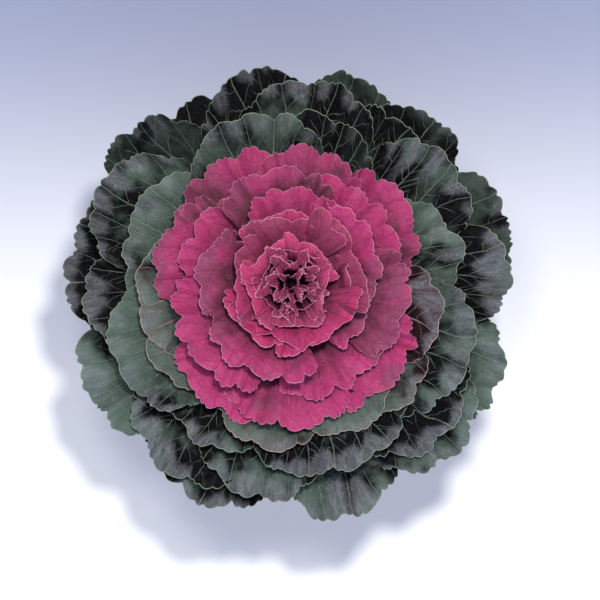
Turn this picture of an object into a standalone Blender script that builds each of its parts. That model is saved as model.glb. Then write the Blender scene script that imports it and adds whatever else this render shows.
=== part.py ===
"""A potted ornamental kale: a clay flowerpot filled with potting mix, a short stem, and a rosette of
broad leaves that turn from green at the skirt to magenta at the heart.

Units are metres. +Z is up. The origin is on the pot's axis, on the surface that the pot stands on.
Each leaf is one solid: a stalk at the stem, a midrib that thins towards the tip, and a broad blade.
Leaves lie on nested bowls round the stem, one bowl for each whorl, so that no leaf cuts another.
"""

import math
from collections import namedtuple

import bmesh
import bpy
import numpy as np

MM = 0.001
GAP = 0.3 * MM  # between pieces that touch

# The pot: turned clay with a thick collar at its mouth and one drain hole.
POT_HEIGHT = 140 * MM
POT_MOUTH_RADIUS = 79 * MM
POT_BASE_RADIUS = 52 * MM
POT_WALL = 6 * MM
POT_FLOOR = 9 * MM
COLLAR_HEIGHT = 29 * MM
COLLAR_PROUD = 3.5 * MM
DRAIN_RADIUS = 9 * MM
CLAY_EDGE = 1.5 * MM
TURNED_SIDES = 40

# The potting mix, a little below the mouth and mounded at the stem.
SOIL_BELOW_MOUTH = 12 * MM
SOIL_MOUND = 4 * MM
SOIL_SHOULDER_RADIUS = 37 * MM

# The stem, part of it in the soil.
STEM_DEPTH_IN_SOIL = 48 * MM
ROOT_TIP_RADIUS = 3.5 * MM
ROOT_TAPER = 19 * MM
STEM_RADIUS = 11 * MM
STEM_TOP_RADIUS = 6.5 * MM
STEM_SIDES = 18
LOWEST_LEAF_ABOVE_MOUTH = 9 * MM
STEM_ABOVE_LEAVES = 6 * MM

# A leaf's solid. Its blade has an odd number of points on its rim, and every second one is a notch.
BLADE_THICKNESS = 0.9 * MM
STALK_SHARE = 0.25  # of the leaf's length, before the blade starts
SHOULDER_ANGLE = math.radians(106)  # the rim runs this far round to each side of the tip
RIM_DEPTH = 0.42  # of the blade's length, from the tip back to the widest place
NOTCH = 0.06  # of the blade's length
BLADE_COLUMNS = 8
BLADE_ROWS = 4
STALK_ROWS = 2
BOWL_STEPS = 48

# Neighbours in a whorl lap over each other: each leaf leans, so it rises with the angle round the stem.
LAP_CLEARANCE = 0.8 * MM
CLOSEST_NEIGHBOURS = math.radians(37.5)
LEAN = (BLADE_THICKNESS + LAP_CLEARANCE) / CLOSEST_NEIGHBOURS

# The heart: the tight young leaves round the growing point, as one bud inside the last whorl.
HEART_RADIUS = 31 * MM
HEART_HEIGHT = 41 * MM
HEART_FOOT_RADIUS = 5 * MM
HEART_CLEARANCE = 3.5 * MM
HEART_SIDES = 20

SKIRT_TIP_ABOVE_MOUTH = 33 * MM

GREEN = (0.045, 0.075, 0.05)
GREEN_AND_ROSE = (0.08, 0.07, 0.055)
MAGENTA = (0.50, 0.045, 0.17)
CRIMSON = (0.36, 0.035, 0.09)
CLAY = (0.50, 0.20, 0.10)
PEAT = (0.035, 0.024, 0.017)
BARK = (0.28, 0.30, 0.17)

# The whorls from the outside in. rise and climb: the clear height in mm over the whorl below, at the
# stem and at the tips. out_angle and tip_angle: how steeply the leaf leaves the stem and ends, in
# degrees. stalk and rib: the width and the thickness of the leaf stalk in mm. leaves: each one's
# azimuth in degrees, and its reach from the axis and its width in mm.
Whorl = namedtuple("Whorl", "name rise climb out_angle tip_angle stalk rib colour leaves")
WHORLS = (
    Whorl("skirt_leaf", 0.0, 0.0, 20, -20, 8.0, 4.0, GREEN, (
        (20, 152, 92), (74, 148, 88), (120, 143, 78), (170, 149, 104), (245, 149, 98), (286, 152, 84),
        (336, 152, 78))),
    Whorl("skirt_leaf", 1.0, 4.1, 23, -18, 8.0, 4.0, GREEN, (
        (50, 151, 80), (98, 148, 88), (137, 152, 80), (207, 149, 92), (316, 151, 88))),
    Whorl("outer_leaf", 1.0, 7.1, 27, -14, 8.0, 4.0, GREEN, (
        (6, 145, 78), (60, 135, 76), (180, 134, 88), (236, 142, 100))),
    Whorl("outer_leaf", 1.0, 3.1, 30, -12, 8.0, 4.0, GREEN, (
        (37, 136, 84), (84, 140, 92), (151, 143, 84), (260, 137, 88), (318, 138, 92))),
    Whorl("middle_leaf", 1.4, 8.1, 33, -8, 7.5, 3.6, GREEN, (
        (16.5, 115, 72), (79, 118, 74), (155, 114, 94), (237, 116, 80), (336, 126, 94))),
    Whorl("middle_leaf", 1.4, 3.1, 36, -6, 7.5, 3.6, GREEN, (
        (105, 118, 88), (204, 124, 88), (286, 123, 104))),
    Whorl("collar_leaf", 1.8, 5.1, 40, -2, 7.0, 3.2, GREEN_AND_ROSE, (
        (207, 101, 72), (262, 105, 76), (319, 106, 74))),
    Whorl("collar_leaf", 1.3, 2.1, 43, 0, 7.0, 3.2, GREEN_AND_ROSE, (
        (184, 101, 76), (296, 102, 72), (346, 100, 70))),
    Whorl("crown_leaf", 1.7, 6.1, 46, 2, 6.5, 2.8, MAGENTA, (
        (40, 95, 78), (118, 96, 84), (236, 94, 80), (316, 92, 80))),
    Whorl("crown_leaf", 1.2, 3.1, 49, 4, 6.5, 2.8, MAGENTA, (
        (80, 93, 70), (160, 91, 76), (270, 92, 84))),
    Whorl("rose_leaf", 1.6, 6.1, 52, 7, 6.0, 2.4, MAGENTA, (
        (44, 78, 80), (150, 74, 70), (302, 75, 82))),
    Whorl("rose_leaf", 1.3, 5.1, 55, 10, 5.5, 2.2, MAGENTA, (
        (98, 77, 72), (214, 78, 86), (350, 78, 72))),
    Whorl("inner_leaf", 1.6, 5.1, 59, 14, 5.0, 1.9, MAGENTA, (
        (84, 62, 64), (172, 60, 62), (345, 53, 62))),
    Whorl("inner_leaf", 2.4, 6.1, 63, 19, 5.0, 1.8, MAGENTA, (
        (37, 61, 66), (248, 62, 74))),
    Whorl("centre_leaf", 2.0, 3.1, 68, 27, 4.5, 1.6, CRIMSON, (
        (105, 46, 50), (225, 42, 50), (350, 40, 48))),
)


def material(name, colour, roughness):
    """A plain surface of one colour."""
    made = bpy.data.materials.new(name)
    made.use_nodes = True
    shader = made.node_tree.nodes["Principled BSDF"]
    shader.inputs["Base Color"].default_value = (*colour, 1.0)
    shader.inputs["Roughness"].default_value = roughness
    shader.inputs["Metallic"].default_value = 0.0
    return made


def add_object(name, vertices, faces, surface, crease=35):
    """One named object from vertices and faces, shaded smooth with sharp edges past the crease."""
    mesh = bpy.data.meshes.new(name)
    mesh.from_pydata([tuple(v) for v in vertices], [], faces)
    shape = bmesh.new()
    shape.from_mesh(mesh)
    bmesh.ops.recalc_face_normals(shape, faces=shape.faces)
    shape.to_mesh(mesh)
    shape.free()
    mesh.shade_smooth()
    mesh.set_sharp_from_angle(angle=math.radians(crease))
    mesh.materials.append(surface)
    made = bpy.data.objects.new(name, mesh)
    bpy.context.scene.collection.objects.link(made)
    return made


def turned(name, profile, sides, surface, closed=False):
    """A solid of revolution about Z. profile is (radius, height) points: a closed loop, or a line
    that starts and ends on the axis."""
    vertices, rings = [], []
    for radius, height in profile:
        if radius < 1e-9:
            rings.append([len(vertices)] * sides)
            vertices.append((0.0, 0.0, height))
            continue
        rings.append(list(range(len(vertices), len(vertices) + sides)))
        for i in range(sides):
            angle = 2 * math.pi * i / sides
            vertices.append((radius * math.cos(angle), radius * math.sin(angle), height))
    faces = []
    pairs = list(zip(rings, rings[1:]))
    if closed:
        pairs.append((rings[-1], rings[0]))
    for low, high in pairs:
        for i in range(sides):
            j = (i + 1) % sides
            corners = dict.fromkeys((low[i], low[j], high[j], high[i]))
            faces.append(tuple(corners))
    return add_object(name, vertices, faces, surface)


def pot_outside(height):
    """The radius of the pot's tapered outer wall, below its collar, at a height."""
    wall_top = POT_MOUTH_RADIUS - COLLAR_PROUD
    return POT_BASE_RADIUS + (wall_top - POT_BASE_RADIUS) * height / POT_HEIGHT


def pot_inside(height):
    """The radius of the pot's inner wall at a height."""
    return pot_outside(height) - POT_WALL


def build_pot():
    collar_foot = POT_HEIGHT - COLLAR_HEIGHT
    profile = (
        (DRAIN_RADIUS, 0.0),
        (pot_outside(0) - CLAY_EDGE, 0.0),
        (pot_outside(CLAY_EDGE), CLAY_EDGE),
        (pot_outside(collar_foot), collar_foot),
        (pot_outside(collar_foot) + COLLAR_PROUD, collar_foot + CLAY_EDGE),
        (POT_MOUTH_RADIUS, POT_HEIGHT - CLAY_EDGE),
        (POT_MOUTH_RADIUS - CLAY_EDGE, POT_HEIGHT),
        (pot_inside(POT_HEIGHT) + CLAY_EDGE, POT_HEIGHT),
        (pot_inside(POT_HEIGHT), POT_HEIGHT - CLAY_EDGE),
        (pot_inside(POT_FLOOR + 2 * CLAY_EDGE), POT_FLOOR + 2 * CLAY_EDGE),
        (pot_inside(POT_FLOOR) - 2 * CLAY_EDGE, POT_FLOOR),
        (DRAIN_RADIUS, POT_FLOOR),
    )
    return turned("clay_pot", profile, TURNED_SIDES, material("clay", CLAY, 0.85), closed=True)


def whorl_heights():
    """The height of each whorl at the stem and at its longest leaf's tip."""
    foot = POT_HEIGHT + LOWEST_LEAF_ABOVE_MOUTH
    tip = POT_HEIGHT + SKIRT_TIP_ABOVE_MOUTH
    heights = [(foot, tip)]
    for whorl in WHORLS[1:]:
        foot += (whorl.rise + whorl.rib) * MM
        tip += whorl.climb * MM + BLADE_THICKNESS
        heights.append((foot, tip))
    return heights


def stem_foot():
    return POT_HEIGHT - SOIL_BELOW_MOUTH - STEM_DEPTH_IN_SOIL


def stem_top():
    return whorl_heights()[-1][0] + STEM_ABOVE_LEAVES


def stem_radius(height):
    """The stem tapers from its lowest leaf to its growing point."""
    lowest = POT_HEIGHT + LOWEST_LEAF_ABOVE_MOUTH
    share = min(max((height - lowest) / (stem_top() - lowest), 0.0), 1.0)
    return STEM_RADIUS + (STEM_TOP_RADIUS - STEM_RADIUS) * share


def build_stem():
    lowest = POT_HEIGHT + LOWEST_LEAF_ABOVE_MOUTH
    profile = (
        (0.0, stem_foot()),
        (ROOT_TIP_RADIUS, stem_foot()),
        (STEM_RADIUS, stem_foot() + ROOT_TAPER),
        (STEM_RADIUS, lowest),
        (STEM_TOP_RADIUS, stem_top()),
        (0.0, stem_top()),
    )
    return turned("stem", profile, STEM_SIDES, material("bark", BARK, 0.7))


def build_soil():
    """The potting mix fills the pot and has a socket where the stem stands."""
    top = POT_HEIGHT - SOIL_BELOW_MOUTH
    floor = POT_FLOOR + GAP
    fillet = 2 * CLAY_EDGE
    # A polygon's sides are nearer to the axis than its corners: a socket's corners stand further out.
    corner = 1 / math.cos(math.pi / TURNED_SIDES)
    side = math.cos(math.pi / TURNED_SIDES)
    profile = (
        (0.0, floor),
        ((pot_inside(POT_FLOOR) - fillet - GAP) * side, floor),
        ((pot_inside(floor + fillet) - 2 * GAP) * side, floor + fillet),
        ((pot_inside(top) - 2 * GAP) * side, top),
        (SOIL_SHOULDER_RADIUS, top + 0.4 * SOIL_MOUND),
        ((STEM_RADIUS + GAP) * corner, top + SOIL_MOUND),
        ((STEM_RADIUS + GAP) * corner, stem_foot() + ROOT_TAPER),
        ((ROOT_TIP_RADIUS + 2 * GAP) * corner, stem_foot() - GAP),
        (0.0, stem_foot() - GAP),
    )
    return turned("potting_mix", profile, TURNED_SIDES, material("peat", PEAT, 0.95))


def build_heart():
    """A bud on the stem's growing point, as wide as its radius or as the last whorl lets it be."""
    foot = stem_top() + GAP
    radii, heights = bowl(len(WHORLS) - 1)
    profile = [(0.0, foot), (HEART_FOOT_RADIUS, foot)]
    for share, fullness in ((0.2, 0.6), (0.44, 0.84), (0.66, 1.0), (0.86, 1.0), (0.97, 0.82), (1.0, 0.48)):
        height = foot + share * HEART_HEIGHT
        room = np.interp(height, heights, radii) - HEART_CLEARANCE
        profile.append((min(fullness * HEART_RADIUS, room), height))
    profile.append((0.0, foot + 0.9 * HEART_HEIGHT))
    return turned("heart_bud", profile, HEART_SIDES, material("heart", CRIMSON, 0.6))


def bowl(number):
    """A whorl's bowl as radii and heights, from the stem's surface to its longest leaf's tip: a
    smooth curve that leaves the stem at out_angle and ends at tip_angle."""
    whorl = WHORLS[number]
    foot_height, tip_height = whorl_heights()[number]
    reach = max(leaf_reach for _, leaf_reach, _ in whorl.leaves) * MM
    # The stem is wider at the underside of the leaf's foot than at its top.
    start = np.array([stem_radius(foot_height - whorl.rib * MM) + GAP, foot_height])
    end = np.array([reach, tip_height])
    length = np.linalg.norm(end - start)
    out, tip = math.radians(whorl.out_angle), math.radians(whorl.tip_angle)
    leaving = length * np.array([math.cos(out), math.sin(out)])
    ending = length * np.array([math.cos(tip), math.sin(tip)])
    q = np.linspace(0, 1, BOWL_STEPS)[:, None]
    curve = (
        (2 * q**3 - 3 * q**2 + 1) * start
        + (q**3 - 2 * q**2 + q) * leaving
        + (3 * q**2 - 2 * q**3) * end
        + (q**3 - q**2) * ending
    )
    return curve[:, 0], curve[:, 1]


def leaf_plan(reach, width, stalk_width, foot_radius):
    """Rows of (along, across) points, from the stem to the rim. The stalk's rows are parallel, and
    the blade's rows fan out from the end of the stalk to an oval, notched rim."""
    blade_start = foot_radius + STALK_SHARE * (reach - foot_radius)
    length = reach - blade_start
    across = np.linspace(-1, 1, BLADE_COLUMNS + 1)
    half_stalk = stalk_width / 2
    foot = np.stack([np.sqrt(foot_radius**2 - (half_stalk * across) ** 2), half_stalk * across], 1)
    neck = np.stack([np.full_like(across, blade_start), half_stalk * across], 1)
    angle = SHOULDER_ANGLE * across
    rim = np.stack([reach - RIM_DEPTH * length * (1 - np.cos(angle)), width / 2 * np.sin(angle)], 1)
    notched = np.arange(BLADE_COLUMNS + 1) % 2 == 1
    rim[notched] += NOTCH * (neck[notched] - rim[notched])
    rows = [foot + (neck - foot) * i / STALK_ROWS for i in range(STALK_ROWS)]
    rows += [neck + (rim - neck) * i / BLADE_ROWS for i in range(BLADE_ROWS + 1)]
    return rows


def leaf_faces(rows, columns):
    """Faces that close a leaf of two layers of rows, the upper one first."""
    layer = rows * columns
    faces = []
    for i in range(rows - 1):
        for j in range(columns - 1):
            corner = i * columns + j
            upper = (corner, corner + 1, corner + 1 + columns, corner + columns)
            faces.append(upper)
            faces.append(tuple(layer + k for k in reversed(upper)))
    edge = list(range(columns))
    edge += [i * columns + columns - 1 for i in range(1, rows)]
    edge += [(rows - 1) * columns + j for j in range(columns - 2, -1, -1)]
    edge += [i * columns for i in range(rows - 2, 0, -1)]
    for a, b in zip(edge, edge[1:] + edge[:1]):
        faces.append((a, b, layer + b, layer + a))
    return faces


def build_leaf(name, number, azimuth, reach, width, surface):
    """One leaf on its whorl's bowl. Its thickness is on the underside, most along the midrib."""
    whorl = WHORLS[number]
    radii, heights = bowl(number)
    plan = leaf_plan(reach, width, whorl.stalk * MM, radii[0])
    turn = math.radians(azimuth)
    from_edge = 1 - np.abs(np.linspace(-1, 1, BLADE_COLUMNS + 1))
    top, under = [], []
    for i, row in enumerate(plan):
        along, across = row[:, 0], row[:, 1]
        share = max((i - STALK_ROWS) / BLADE_ROWS, 0.0)
        rib = max(whorl.rib * MM * (1 - 0.9 * share), BLADE_THICKNESS)
        thickness = BLADE_THICKNESS + (rib - BLADE_THICKNESS) * (1 - share) ** 4 * np.sqrt(from_edge)
        thickness[BLADE_COLUMNS // 2] = rib
        radius = np.hypot(along, across)
        lean = LEAN * np.arctan2(across, along)
        height = np.interp(radius, radii, heights) + lean
        slope = np.arctan2(height - lean - np.interp(radius - MM, radii, heights), MM)
        # The foot's underside is straight below its top, so that it stays clear of the stem.
        outward = 1 + thickness * np.sin(slope) / radius if i else np.ones_like(radius)
        x = along * math.cos(turn) - across * math.sin(turn)
        y = along * math.sin(turn) + across * math.cos(turn)
        top += zip(x, y, height)
        under += zip(x * outward, y * outward, height - thickness * np.cos(slope))
    faces = leaf_faces(len(plan), BLADE_COLUMNS + 1)
    return add_object(name, top + under, faces, surface, crease=60)


def build_leaves():
    surfaces = {
        GREEN: material("green_leaf", GREEN, 0.55),
        GREEN_AND_ROSE: material("green_and_rose_leaf", GREEN_AND_ROSE, 0.55),
        MAGENTA: material("magenta_leaf", MAGENTA, 0.5),
        CRIMSON: material("crimson_leaf", CRIMSON, 0.5),
    }
    built = dict.fromkeys((whorl.name for whorl in WHORLS), 0)
    for number, whorl in enumerate(WHORLS):
        for azimuth, reach, width in whorl.leaves:
            built[whorl.name] += 1
            name = f"{whorl.name}_{built[whorl.name]:02d}"
            build_leaf(name, number, azimuth, reach * MM, width * MM, surfaces[whorl.colour])


def main():
    for old in list(bpy.data.objects):
        bpy.data.objects.remove(old, do_unlink=True)
    build_pot()
    build_soil()
    build_stem()
    build_leaves()
    build_heart()


main()
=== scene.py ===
"""The looks of a potted ornamental kale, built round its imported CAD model.

Each CAD leaf is made again in full on its own surface, and the heart's young leaves are made where
the CAD model has one solid bud. A blade is a fan of rows and columns from the leaf stalk to the
rim: a row is a share of the way out, a column a share of the way across. The rim is lobed and
scalloped, the panels between the veins bulge, and the blade folds and frills towards the rim.

A blade moves by about half of the room that the CAD solids over and under it leave, at most. That
room is read at a coarse grid of points, so some neighbouring blades still cross. The heart's
leaves aren't held clear of one another.
"""

import math
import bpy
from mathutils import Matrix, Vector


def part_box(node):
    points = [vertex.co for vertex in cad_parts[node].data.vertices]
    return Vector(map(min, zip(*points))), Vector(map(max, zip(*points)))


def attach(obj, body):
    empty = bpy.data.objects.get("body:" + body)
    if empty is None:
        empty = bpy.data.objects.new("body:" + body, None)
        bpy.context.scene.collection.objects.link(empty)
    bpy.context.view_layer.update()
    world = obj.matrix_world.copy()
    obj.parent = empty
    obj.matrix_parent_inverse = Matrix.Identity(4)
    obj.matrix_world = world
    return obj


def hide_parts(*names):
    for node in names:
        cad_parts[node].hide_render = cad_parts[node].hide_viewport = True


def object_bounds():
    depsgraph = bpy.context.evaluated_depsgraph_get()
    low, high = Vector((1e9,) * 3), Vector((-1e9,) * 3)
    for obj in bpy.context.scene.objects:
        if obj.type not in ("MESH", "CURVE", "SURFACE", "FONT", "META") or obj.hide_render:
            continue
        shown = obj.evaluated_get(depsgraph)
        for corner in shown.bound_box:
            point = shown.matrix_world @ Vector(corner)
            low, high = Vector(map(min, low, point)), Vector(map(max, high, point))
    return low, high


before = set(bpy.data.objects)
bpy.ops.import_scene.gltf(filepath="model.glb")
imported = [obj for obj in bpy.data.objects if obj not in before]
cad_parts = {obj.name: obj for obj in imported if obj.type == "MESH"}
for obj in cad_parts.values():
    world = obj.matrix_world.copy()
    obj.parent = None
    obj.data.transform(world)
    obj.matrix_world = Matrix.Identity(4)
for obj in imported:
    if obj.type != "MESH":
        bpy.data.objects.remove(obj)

import zlib
from collections import namedtuple

import bpy
import numpy as np
from mathutils import Vector
from mathutils.bvhtree import BVHTree

CAD_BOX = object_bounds()
MM = 0.001

# The fan of a CAD leaf's blade: the stalk's share of the reach, the angle from the tip to a
# shoulder, and how far the rim draws back from the tip, as a share of the blade's length.
STALK_SHARE = 0.25
SHOULDER_ANGLE = math.radians(106)
RIM_DEPTH = 0.42

# Reading a CAD leaf: its foot's depth, the rays along its midline, the degree of the curve through
# them, the points of the outline, and how far past the reach the outline runs.
FOOT_DEPTH = 0.2 * MM
MIDLINE_RAYS = 26
FIT_DEGREE = 5
OUTLINE_POINTS = 60
OVERRUN = 1.04

# The room round a blade: the furthest that is looked, the grid of points, where a ray starts over
# and under the CAD surface, and how much of the room a blade may take up.
MOST_ROOM = 30 * MM
ROOM_ROWS, ROOM_COLUMNS = 14, 19
START_OVER, START_UNDER = 0.05 * MM, 1.0 * MM
ROOM_SHARE, ROOM_SPARE = 0.46, 0.02 * MM

# A blade's sizes that every form shares.
CRINKLE_WAVE = 26 * MM
# How far over a point another leaf may lie and still paint shade on it.
COVER_SHADE_REACH = 22 * MM
VEIN_RIDGE = 0.9 * MM
RIM_TAPER = 1.2 * MM
LEAST_RIB = 0.3 * MM

# Seeds are drawn below this.
SEED_LIMIT = 1 << 30

# A leaf lies on a bowl turned about Z. Its plan is drawn flat, with the distance from the axis
# measured along the bowl: distances, radii and heights are the bowl's outline.
Leaf = namedtuple("Leaf", "azimuth foot reach half_width distances radii heights lean stalk rib")
Form = namedtuple(
    "Form",
    "lobe lobe_depth scallop scallop_depth vein bulge fold frill curl cup thickness crinkle "
    "spacing",
)

SKIRT_FORM = Form(
    lobe=31 * MM, lobe_depth=0.055, scallop=8 * MM, scallop_depth=0.020, vein=20 * MM,
    bulge=2.6 * MM, fold=6.2 * MM, frill=1.2 * MM, curl=1.8 * MM, cup=3.5 * MM, thickness=0.7 * MM,
    crinkle=1.3 * MM, spacing=1.2 * MM)
MIDDLE_FORM = SKIRT_FORM._replace(
    lobe=28 * MM, vein=18 * MM, fold=5.8 * MM, frill=1.3 * MM, curl=2.4 * MM)
CROWN_FORM = Form(
    lobe=25 * MM, lobe_depth=0.095, scallop=5.6 * MM, scallop_depth=0.034, vein=18 * MM,
    bulge=1.0 * MM, fold=4.8 * MM, frill=1.5 * MM, curl=-1.6 * MM, cup=2.2 * MM, thickness=0.6 * MM,
    crinkle=0.9 * MM, spacing=0.95 * MM)
ROSE_FORM = CROWN_FORM._replace(lobe=21 * MM, fold=4.2 * MM, spacing=0.85 * MM)
INNER_FORM = CROWN_FORM._replace(
    lobe=20 * MM, scallop=4.8 * MM, fold=3.4 * MM, frill=1.3 * MM, cup=1.2 * MM, spacing=0.8 * MM)
HEART_FORM = CROWN_FORM._replace(
    lobe=30 * MM, lobe_depth=0.06, scallop=5.6 * MM, scallop_depth=0.022, vein=13 * MM,
    bulge=0.4 * MM, fold=2.6 * MM, frill=0.9 * MM, curl=-0.8 * MM, cup=0.6 * MM,
    thickness=0.45 * MM, crinkle=0.6 * MM, spacing=0.7 * MM)
BUD_FORM = HEART_FORM._replace(
    lobe=24 * MM, lobe_depth=0.03, scallop=3.8 * MM, scallop_depth=0.020, vein=9 * MM,
    fold=0.75 * MM, frill=0.45 * MM, curl=-0.9 * MM, cup=0.1 * MM, crinkle=0.35 * MM,
    spacing=0.8 * MM)


# ---------------------------------------------------------------- shader nodes

# A Mix node's colour sockets. It has a set of sockets for each type of data.
MIX_FIRST, MIX_SECOND, MIX_RESULT = 6, 7, 2


class Shader:
    """A material under construction. Its methods add nodes and return their output sockets."""

    def __init__(self, name):
        self.material = bpy.data.materials.new(name)
        self.material.use_nodes = True
        self.tree = self.material.node_tree
        self.surface = self.tree.nodes["Principled BSDF"]

    def node(self, kind, **settings):
        made = self.tree.nodes.new(kind)
        for key, value in settings.items():
            setattr(made, key, value)
        return made

    def feed(self, socket, value):
        if isinstance(value, bpy.types.NodeSocket):
            self.tree.links.new(value, socket)
        elif isinstance(value, tuple) and len(value) == 3 and socket.type == "RGBA":
            socket.default_value = (*value, 1.0)
        else:
            socket.default_value = value

    def math(self, operation, *values):
        made = self.node("ShaderNodeMath", operation=operation)
        for socket, value in zip(made.inputs, values):
            self.feed(socket, value)
        return made.outputs[0]

    def times(self, first, second):
        return self.math("MULTIPLY", first, second)

    def minus(self, first, second):
        return self.math("SUBTRACT", first, second)

    def times_plus(self, value, factor, rest):
        return self.math("MULTIPLY_ADD", value, factor, rest)

    def smooth(self, value, low, high, to_low=0.0, to_high=1.0):
        """A soft step: to_low where the value is at low, to_high where it is at high."""
        made = self.node("ShaderNodeMapRange", interpolation_type="SMOOTHSTEP")
        settings = {
            "Value": value, "From Min": low, "From Max": high, "To Min": to_low, "To Max": to_high}
        for name, number in settings.items():
            self.feed(made.inputs[name], number)
        return made.outputs["Result"]

    def mix(self, share, first, second, blend="MIX"):
        made = self.node("ShaderNodeMix", data_type="RGBA", blend_type=blend)
        self.feed(made.inputs["Factor"], share)
        self.feed(made.inputs[MIX_FIRST], first)
        self.feed(made.inputs[MIX_SECOND], second)
        return made.outputs[MIX_RESULT]

    def attribute(self, name):
        """A vector attribute's three numbers."""
        return self.apart(self.node("ShaderNodeAttribute", attribute_name=name).outputs["Vector"])

    def apart(self, vector):
        made = self.node("ShaderNodeSeparateXYZ")
        self.feed(made.inputs[0], vector)
        return made.outputs[0], made.outputs[1], made.outputs[2]

    def vector(self, x, y, z):
        made = self.node("ShaderNodeCombineXYZ")
        for socket, value in zip(made.inputs, (x, y, z)):
            self.feed(socket, value)
        return made.outputs[0]

    def place(self):
        return self.node("ShaderNodeTexCoord").outputs["Object"]

    def noise(self, vector, scale, detail=2.0, roughness=0.5):
        made = self.node("ShaderNodeTexNoise")
        self.feed(made.inputs["Vector"], vector)
        made.inputs["Scale"].default_value = scale
        made.inputs["Detail"].default_value = detail
        made.inputs["Roughness"].default_value = roughness
        return made.outputs["Fac"]

    def cells(self, vector, scale, feature="DISTANCE_TO_EDGE"):
        made = self.node("ShaderNodeTexVoronoi", feature=feature)
        self.feed(made.inputs["Vector"], vector)
        made.inputs["Scale"].default_value = scale
        return made.outputs["Distance"]

    def bump(self, height, distance, strength=1.0):
        made = self.node("ShaderNodeBump")
        made.inputs["Strength"].default_value = strength
        made.inputs["Distance"].default_value = distance
        self.feed(made.inputs["Height"], height)
        return made.outputs["Normal"]

    def finish(self, colour, roughness, normal, **others):
        self.feed(self.surface.inputs["Base Color"], colour)
        self.feed(self.surface.inputs["Roughness"], roughness)
        self.feed(self.surface.inputs["Normal"], normal)
        for name, value in others.items():
            self.surface.inputs[name.replace("_", " ")].default_value = value
        return self.material


# The deep and blade colours carry painted shade as well as the leaves' own colours, the fresh
# colour painted light as well, and the bloom colour a painted sheen as well as the wax bloom.
Skin = namedtuple(
    "Skin",
    "deep blade fresh bloom vein rim back panel net streak pace shade relief vein_share rim_width "
    "gloss rise_at full_at")

GREEN_SKIN = Skin(
    deep=(0.0030, 0.0026, 0.0038), blade=(0.066, 0.060, 0.072), fresh=(0.098, 0.136, 0.112),
    bloom=(0.190, 0.205, 0.215), vein=(0.24, 0.31, 0.24), rim=(0.30, 0.37, 0.25),
    back=(0.13, 0.18, 0.15), panel=0.90, net=0.30, streak=0.50, pace=15.0,
    shade=0.80, relief=1.5 * MM, vein_share=0.76, rim_width=0.35,
    gloss=0.04, rise_at=0.34, full_at=0.92)
ROSY_GREEN_SKIN = GREEN_SKIN._replace(
    deep=(0.012, 0.005, 0.008), vein=(0.44, 0.25, 0.25), rim=(0.50, 0.36, 0.31), vein_share=0.85,
    rise_at=0.30)
MAGENTA_SKIN = Skin(
    deep=(0.100, 0.018, 0.038), blade=(0.225, 0.038, 0.090), fresh=(0.43, 0.029, 0.140),
    bloom=(0.29, 0.085, 0.148), vein=(0.36, 0.07, 0.15), rim=(0.66, 0.26, 0.38),
    back=(0.32, 0.09, 0.16), panel=0.45, net=0.06, streak=0.65, pace=34.0,
    shade=0.34, relief=0.9 * MM, vein_share=0.28, rim_width=0.25,
    gloss=0.20, rise_at=0.05, full_at=0.75)
CRIMSON_SKIN = MAGENTA_SKIN._replace(
    deep=(0.075, 0.008, 0.022), blade=(0.255, 0.030, 0.082), fresh=(0.46, 0.028, 0.130),
    rise_at=0.15)
HEART_SKIN = MAGENTA_SKIN._replace(
    deep=(0.005, 0.001, 0.002), blade=(0.35, 0.048, 0.118), fresh=(0.52, 0.045, 0.150),
    bloom=(0.40, 0.11, 0.19), rim=(0.66, 0.22, 0.34), back=(0.070, 0.009, 0.024), rim_width=0.34,
    gloss=0.06, rise_at=0.46, full_at=1.0)
BUD_SKIN = HEART_SKIN._replace(
    blade=(0.26, 0.036, 0.088), fresh=(0.26, 0.024, 0.076), rise_at=0.74, full_at=1.12,
    rim_width=0.42)

# Where branches leave a main vein, as a share of the way out, with their slope and breadth.
BRANCHES = (
    (0.26, 2.1, 0.62), (0.39, 2.3, 0.72), (0.51, 2.5, 0.84), (0.62, 2.7, 0.95), (0.73, 2.9, 1.0),
    (0.84, 3.0, 1.0))


def vein_lines(s, cell, out, width, tone):
    """1 on the veins and 0 between them. Main veins run where the cell is a whole number. On both
    sides of each, branches leave it and meet the next vein's branches half way."""
    main = s.math("PINGPONG", cell, 0.5)
    nearest = s.math("ROUND", cell)
    side = s.math("SIGN", s.minus(cell, nearest))
    breadth = s.smooth(out, 0.0, 1.0, 1.4, 0.38)

    def line(distance, share, strength):
        reach = s.times(breadth, share)
        across = s.math("DIVIDE", s.times(distance, width), reach)
        return s.smooth(across, 0.2, 1.0, strength, 0.0)

    veins = line(main, 1.0, 1.0)
    for start, steepness, share in BRANCHES:
        phase = s.times_plus(nearest, 2.4 + 9.0 * start, s.times(tone, 30.0))
        leaves_at = s.times_plus(s.math("SINE", phase), 0.05, start)
        leaves_at = s.times_plus(side, 0.045, leaves_at)
        past = s.minus(out, leaves_at)
        bow = s.math("POWER", s.math("MAXIMUM", past, 0.0), 0.8)
        branch = s.math("ABSOLUTE", s.minus(main, s.times(bow, steepness)))
        branch = s.math("ADD", branch, s.smooth(past, -0.003, 0.0, 1.0, 0.0))
        drawn = s.times(line(branch, share, 0.66), s.smooth(main, 0.25, 0.5, 1.0, 0.45))
        veins = s.math("MAXIMUM", veins, drawn)
    return veins


# The pace of a leaf's unevenness and of its fine net of veins, in waves or cells to the metre.
PATCH_PACE, MOTTLE_PACE, GRAIN_PACE, NET_PACE = 30.0, 150.0, 520.0, 330.0


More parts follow.
